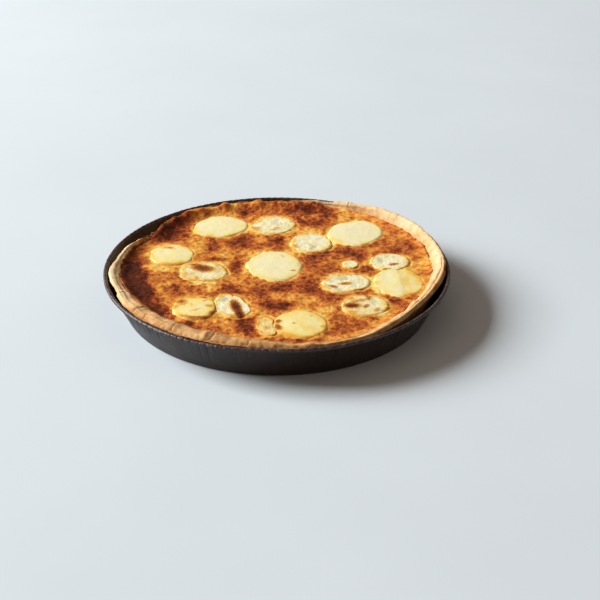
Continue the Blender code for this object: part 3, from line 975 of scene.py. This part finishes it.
# Browning of the custard's top, in mm: x, y, half-length, half-width, direction and
# strength, which is positive where it is darker and negative where it is golden.
BROWNING = (
    # the scorched band down the left and along the front
    (-117, 14, 20, 9, 82, 0.40), (-112, -6, 20, 11, 98, 0.56), (-106, -28, 22, 10, 108, 0.58),
    (-97, -48, 20, 9, 124, 0.52), (-84, -68, 14, 7, 130, 0.42),
    (-66, -88, 12, 5, 150, 0.34), (-44, -94, 8, 6, 160, 0.34),
    # back left
    (-91, 72, 24, 12, 62, 0.42), (-94, 58, 10, 9, 0, 0.28), (-80, 62, 12, 8, 70, 0.20),
    (-84, 92, 14, 7, 55, 0.16), (-96, 92, 10, 5, 45, 0.12),
    # back
    (14, 114, 14, 12, 0, 0.24), (30, 112, 12, 12, 0, 0.30), (42, 104, 9, 12, 0, 0.26),
    (28, 92, 12, 10, 0, 0.22), (-8, 116, 10, 9, 0, 0.20), (-27, 113, 9, 9, 0, 0.28),
    (-60, 114, 9, 8, 0, 0.16),
    # between the slices at the back
    (-30, 51, 12, 11, 30, 0.34), (-52, 38, 5, 20, 0, 0.28), (-50, 20, 6, 6, 0, 0.22),
    (-3, 56, 8, 11, 20, 0.28), (-33, 6, 5, 16, 0, 0.24),
    # middle right
    (28, 24, 12, 12, 20, 0.26), (42, 34, 16, 8, 20, 0.24), (65, 28, 7, 12, 0, 0.32),
    (55, 32, 8, 7, 0, 0.20), (26, 10, 8, 8, 0, 0.22), (45, 6, 9, 7, 0, 0.22),
    (70, 2, 7, 8, 0, 0.20),
    # middle and front
    (-34, -32, 9, 13, 20, 0.36), (-12, -34, 16, 12, 0, 0.28), (14, -28, 14, 12, 0, 0.26),
    (-4, -58, 14, 8, 0, 0.30), (4, -62, 8, 5, 20, 0.22), (30, -34, 9, 14, 0, 0.18),
    (44, -48, 8, 12, 0, 0.18), (-12, -14, 10, 5, -20, 0.18), (25, -12, 8, 10, 0, 0.16),
    (-20, -90, 7, 16, 10, 0.44), (-28, -72, 5, 12, 10, 0.25), (-31, -56, 4, 10, 12, 0.3),
    (44, -98, 8, 6, 20, 0.28), (58, -92, 12, 7, 30, 0.20), (68, -78, 8, 4, 0, 0.24),
    # right
    (94, 38, 4.5, 6, 0, 0.40), (106, 46, 6, 10, 10, 0.18), (108, 20, 5, 7, 0, 0.14),
    (66, -34, 6, 4, 0, 0.24), (96, -50, 14, 6, 55, 0.20), (88, -48, 5, 7, 0, 0.16),
    (74, 46, 14, 4, 25, 0.22), (-77, -32, 8, 6, 0, 0.20), (-60, -31, 8, 5, 0, 0.18),
    (-72, -18, 7, 7, 0, 0.12), (15, -112, 26, 4, 4, 0.16),
    # golden and pale places
    (-94, 2, 10, 10, 0, -0.26), (-66, 44, 8, 18, 0, -0.22), (-34, 31, 20, 6, 4, -0.20),
    (-87, -52, 8, 14, 20, -0.18), (-56, -24, 13, 6, -10, -0.26), (54, 112, 5, 14, 0, -0.22),
    (53, 96, 6, 8, 0, -0.14), (111, 10, 7, 12, 0, -0.18), (30, 73, 14, 6, 10, -0.16),
    (14, 32, 12, 4, -45, -0.22), (36, -66, 6, 12, -20, -0.18), (75, -22, 5, 18, 15, -0.26),
    (-22, -36, 4, 24, 32, -0.16), (-11, -68, 5, 12, 20, -0.22), (78, -74, 8, 10, 30, -0.16),
    (-40, -84, 6, 12, 10, -0.22), (44, -2, 6, 6, 0, -0.16), (-38, 114, 6, 10, 0, -0.16),
    (-20, 104, 8, 6, 0, -0.18), (-103, 40, 4, 14, 0, -0.14), (96, 66, 8, 14, 30, -0.08),
    (-14, 36, 10, 5, 10, -0.16), (-44, 60, 10, 5, 10, -0.14), (22, -50, 14, 8, 0, -0.10),
    (92, -42, 8, 5, 0, -0.10), (60, 104, 8, 6, 0, -0.12), (-48, 12, 5, 10, 0, -0.16),
)


def custard_material():
    s = Surface("baked_custard", Specular_IOR_Level=0.17)
    patch = s.noise(9.0, 3.0, 0.55, 0.5)
    mottle = s.noise(4.0, 2.0, 0.55, 0.8)
    fine = s.noise(1.5, 2.0, 0.5)
    bake = s.vary(s.field("bake"), patch, 0.14)
    bake = s.vary(bake, mottle, 0.1)
    bake = s.vary(bake, fine, 0.04)
    colour = s.ramp(bake, (
        (0.0, (255, 220, 134)), (0.12, (252, 202, 100)), (0.28, (240, 168, 70)),
        (0.42, (228, 142, 58)), (0.56, (194, 100, 38)), (0.7, (160, 70, 26)),
        (0.86, (114, 46, 18)), (1.0, (80, 33, 15)),
    ))
    # Painted glints: small pinkish-white highlights on the blister cells, in the mid-brown
    # custard only.
    blister = s.scaled(s.voronoi(2.2), 0.1, 0.34, 1.0, 0.0)
    blister = s.math("MULTIPLY", blister, s.scaled(bake, 0.4, 0.55, 0.0, 0.7))
    blister = s.math("MULTIPLY", blister, s.scaled(bake, 0.7, 0.85, 1.0, 0.0))
    colour = s.mix(colour, srgb(240, 162, 112), blister)
    normal = s.bump(mottle, 0.3, 0.6)
    normal = s.bump(fine, 0.3, 0.6, under=normal)
    oily = s.noise(2.2, 2.0, 0.5)
    return s.finish(colour, s.scaled(oily, 0.42, 0.6, 0.55, 0.27), normal)


def custard_level(xy):
    """Height of the custard's smooth top, with its slow swells."""
    z = np.full(len(xy), FILL_LEVEL)
    for x, y, radius, rise in SWELLS:
        z += rise * np.exp(-((xy[:, 0] - x) ** 2 + (xy[:, 1] - y) ** 2) / radius ** 2)
    return z


def disc_grid(count):
    """A square grid of points bent evenly onto a disc: share of its radius, and angle."""
    steps = np.linspace(-1, 1, count)
    u, v = np.meshgrid(steps, steps)
    u, v = u.reshape(-1) + 1e-9, v.reshape(-1) + 1e-9
    wide = np.abs(u) >= np.abs(v)
    quarter = math.pi / 4
    angle = np.where(wide, quarter * v / u + np.where(u < 0, math.pi, 0),
                     math.pi / 2 - quarter * u / v + np.where(v < 0, math.pi, 0))
    return np.where(wide, np.abs(u), np.abs(v)), np.degrees(angle)


def custard_edge(degrees):
    """Radius at which the custard ends and its height there, at each angle.

    It ends on the pastry's inner face, part of the way up to the lip; on the left it
    climbs further, and at the back it has baked over the top of the wall.
    """
    outer, crest, lip, inner = wall_values(degrees)
    ragged = fbm(circle_points(degrees, 120), 10.0, 3, 211)
    cover = within(degrees, COVER_START, COVER_STOP, 10)
    left = within(degrees, 180, 236, 16)
    climb = 0.22 + 0.66 * left + (0.16 + 0.16 * left) * ragged
    climb = np.clip(climb, 0.0, 1.05)
    on_face = inner + climb * (lip - inner)
    face_z = FILL_EDGE + climb * (crest - LIP_DROP - FILL_EDGE) + 0.25
    reach = on_face + cover * (outer - 2.0 + 1.1 * ragged - on_face)
    over = crest + 0.3 + 1.3 * ragged
    for angle, rise in SPILLS:
        over = over + rise * bell(arc_away(degrees, angle), SPILL_WIDTH)
    top_z = face_z * (1 - cover) + over * cover
    return reach, top_z, inner, cover


def custard_surface(degrees, share):
    """Plan points, height and browning of the custard's top."""
    reach, edge_z, inner, cover = custard_edge(degrees)
    radius = share * reach
    p = circle_points(degrees, radius)
    xy = p[:, :2]
    lumps = fbm(p, 7.0, 4, 202)
    swell = fbm(p, 26.0, 3, 201)
    wander = np.stack([lumps, swell], 1)
    blister = smooth(0.62, 0.12, cells(xy + 1.4 * wander, 5.2, 203))
    small = smooth(0.6, 0.1, cells(xy + 0.8 * wander, 2.9, 206))
    pores = ridged(p, 2.4, 2, 204)

    z = custard_level(xy)
    rise = smooth(reach - 9 - 6 * cover, reach, radius) ** 1.4
    z = z * (1 - rise) + edge_z * rise
    on_wall = smooth(inner - 3, inner + 1.5, radius) * cover
    z = z * (1 - on_wall) + edge_z * on_wall

    bake = 0.47 + 0.17 * fbm(p, 15.0, 3, 205) + 0.13 * fbm(p, 8.0, 2, 207) + 0.06 * lumps
    spots = np.zeros(len(xy))
    for spot in BROWNING:
        spots += blob(xy, spot)
    bake += np.where(spots > 0, SCORCH_LIMIT * np.tanh(spots / SCORCH_LIMIT), spots)
    bake += 0.13 * (blister - 0.35) + 0.05 * (small - 0.35)
    relief = 0.4 * swell + 0.5 * lumps + 0.65 * blister * (0.6 + 0.5 * lumps)
    relief += 0.2 * small + 0.1 * pores - 0.35

    # The custard laps unevenly against each slice, and is paler and richer there.
    hidden = np.zeros(len(xy))
    film = noise(p, 6.0, 208) + 0.6 * noise(p, 3.0, 209)
    for node, shape in (POTATO | CHEESE).items():
        clear = shape.outside(xy)
        is_cheese = node in CHEESE
        lap = slice_top(node) - LAP_DEPTH + LAP_UNEVEN * film
        if is_cheese:
            lap = lap + 0.05 + 0.3 * lumps
        beside = 1 - smooth(0.0, 5.0, clear)
        z = z * (1 - beside) + lap * beside
        relief *= 1 - 0.6 * beside
        near = 1 - smooth(0.0, 4.0 if is_cheese else 3.0, clear + 1.6 * lumps)
        bake -= near * (0.26 if is_cheese else 0.16)
        hidden = np.maximum(hidden, 1 - smooth(-6.5, -4.2, clear))
    z = z + relief * (1 - hidden) - UNDER_SLICES * hidden
    z = np.minimum(z, PASTRY_TOP - TOP_MARGIN)
    return xy, z, np.clip(bake, 0.02, 1.0)


def make_custard():
    """The custard: its top, a rounded lip and a hidden skirt."""
    n = CUSTARD_SPAN
    share, degrees = disc_grid(n)
    xy, z, bake = custard_surface(degrees, share)
    verts = np.concatenate([xy, z[:, None]], 1)
    faces = band_faces(n, n, closed=False)
    border = list(range(n)) + [i * n + n - 1 for i in range(1, n)]
    border += [(n - 1) * n + j for j in range(n - 2, -1, -1)]
    border += [i * n for i in range(n - 2, 0, -1)]

    # A rounded lip, then a hidden skirt down to the pastry's floor.
    edge = verts[border]
    radius = np.hypot(edge[:, 0], edge[:, 1])[:, None]
    lip = edge.copy()
    lip[:, :2] *= 1 - LIP_INSET / radius
    lip[:, 2] -= LIP_HEIGHT
    foot = edge.copy()
    foot[:, :2] *= CUSTARD_SKIRT / radius
    foot[:, 2] = CUSTARD_FLOOR
    start = len(verts)
    count = len(border)
    verts = np.concatenate([verts, lip, foot, [[0, 0, CUSTARD_FLOOR]]])
    for j in range(count):
        k = (j + 1) % count
        faces.append((border[k], border[j], start + j, start + k))
        faces.append((start + k, start + j, start + count + j, start + count + k))
        faces.append((start + count + k, start + count + j, start + 2 * count))
    bake = np.concatenate([bake, bake[border], bake[border], [HIDDEN_TONE]])
    piece = build_mesh("custard", verts, faces, {"bake": bake})
    dress(piece, custard_material())
    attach(piece, "root")
    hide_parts("filling")


# ------------------------------ stage

CAMERA_PLACE = (0.0179, -0.9917, 0.5171)
CAMERA_ELEVATION = 27.57
CAMERA_ROLL = 0.34
CAMERA_LENS, CAMERA_SENSOR = 85.0, 36.0
FLOOR_SIZE = 6.0


def make_stage():
    """A plain pale floor."""
    mesh = bpy.data.meshes.new("floor")
    corners = [(x * FLOOR_SIZE, y * FLOOR_SIZE, 0)
               for x, y in ((-1, -1), (1, -1), (1, 1), (-1, 1))]
    mesh.from_pydata(corners, [], [(0, 1, 2, 3)])
    floor = add_object("floor", mesh)
    s = Surface("floor_paint", Specular_IOR_Level=0.1)
    cloud = s.noise(180.0, 3.0)
    dress(floor, s.finish(s.ramp(cloud, ((0.3, (222, 227, 230)), (0.7, (226, 231, 234)))), 0.9))


KEY_AZIMUTH, KEY_ELEVATION, KEY_DISTANCE = 166.0, 30.0, 5.8
KEY_SIZE = (3.1, 2.5)
KEY_POWER = 600.0
KEY_COLOUR = (0.90, 0.965, 1.0)
ROOM_COLOUR = (1.0, 0.82, 0.70)
ROOM_STRENGTH = 0.20


def make_lights():
    """A broad window-like lamp on the left, and a dim warm room all round."""
    azimuth, elevation = math.radians(KEY_AZIMUTH), math.radians(KEY_ELEVATION)
    way = Vector((math.cos(azimuth) * math.cos(elevation),
                  math.sin(azimuth) * math.cos(elevation), math.sin(elevation)))
    data = bpy.data.lights.new("window", "AREA")
    data.shape = "RECTANGLE"
    data.size, data.size_y = KEY_SIZE
    data.energy = KEY_POWER
    data.color = KEY_COLOUR
    lamp = add_object("window", data)
    lamp.location = way * KEY_DISTANCE
    lamp.rotation_euler = way.to_track_quat("Z", "Y").to_euler()
    world = bpy.data.worlds.new("room")
    bpy.context.scene.world = world
    world.use_nodes = True
    back = world.node_tree.nodes["Background"]
    back.inputs["Color"].default_value = (*ROOM_COLOUR, 1.0)
    back.inputs["Strength"].default_value = ROOM_STRENGTH


def make_camera():
    """The camera, at the photograph's angle."""
    data = bpy.data.cameras.new("camera")
    data.lens = CAMERA_LENS
    data.sensor_width = CAMERA_SENSOR
    camera = add_object("camera", data)
    tilt = Matrix.Rotation(math.radians(90 - CAMERA_ELEVATION), 4, "X")
    roll = Matrix.Rotation(math.radians(CAMERA_ROLL), 4, "Z")
    camera.matrix_world = Matrix.Translation(CAMERA_PLACE) @ tilt @ roll
    bpy.context.scene.camera = camera


make_camera()
make_stage()
make_lights()
make_tin()
make_crust()
make_custard()
make_potatoes(potato_material())
make_cheese(cheese_material())

bpy.context.scene.view_settings.view_transform = "Standard"
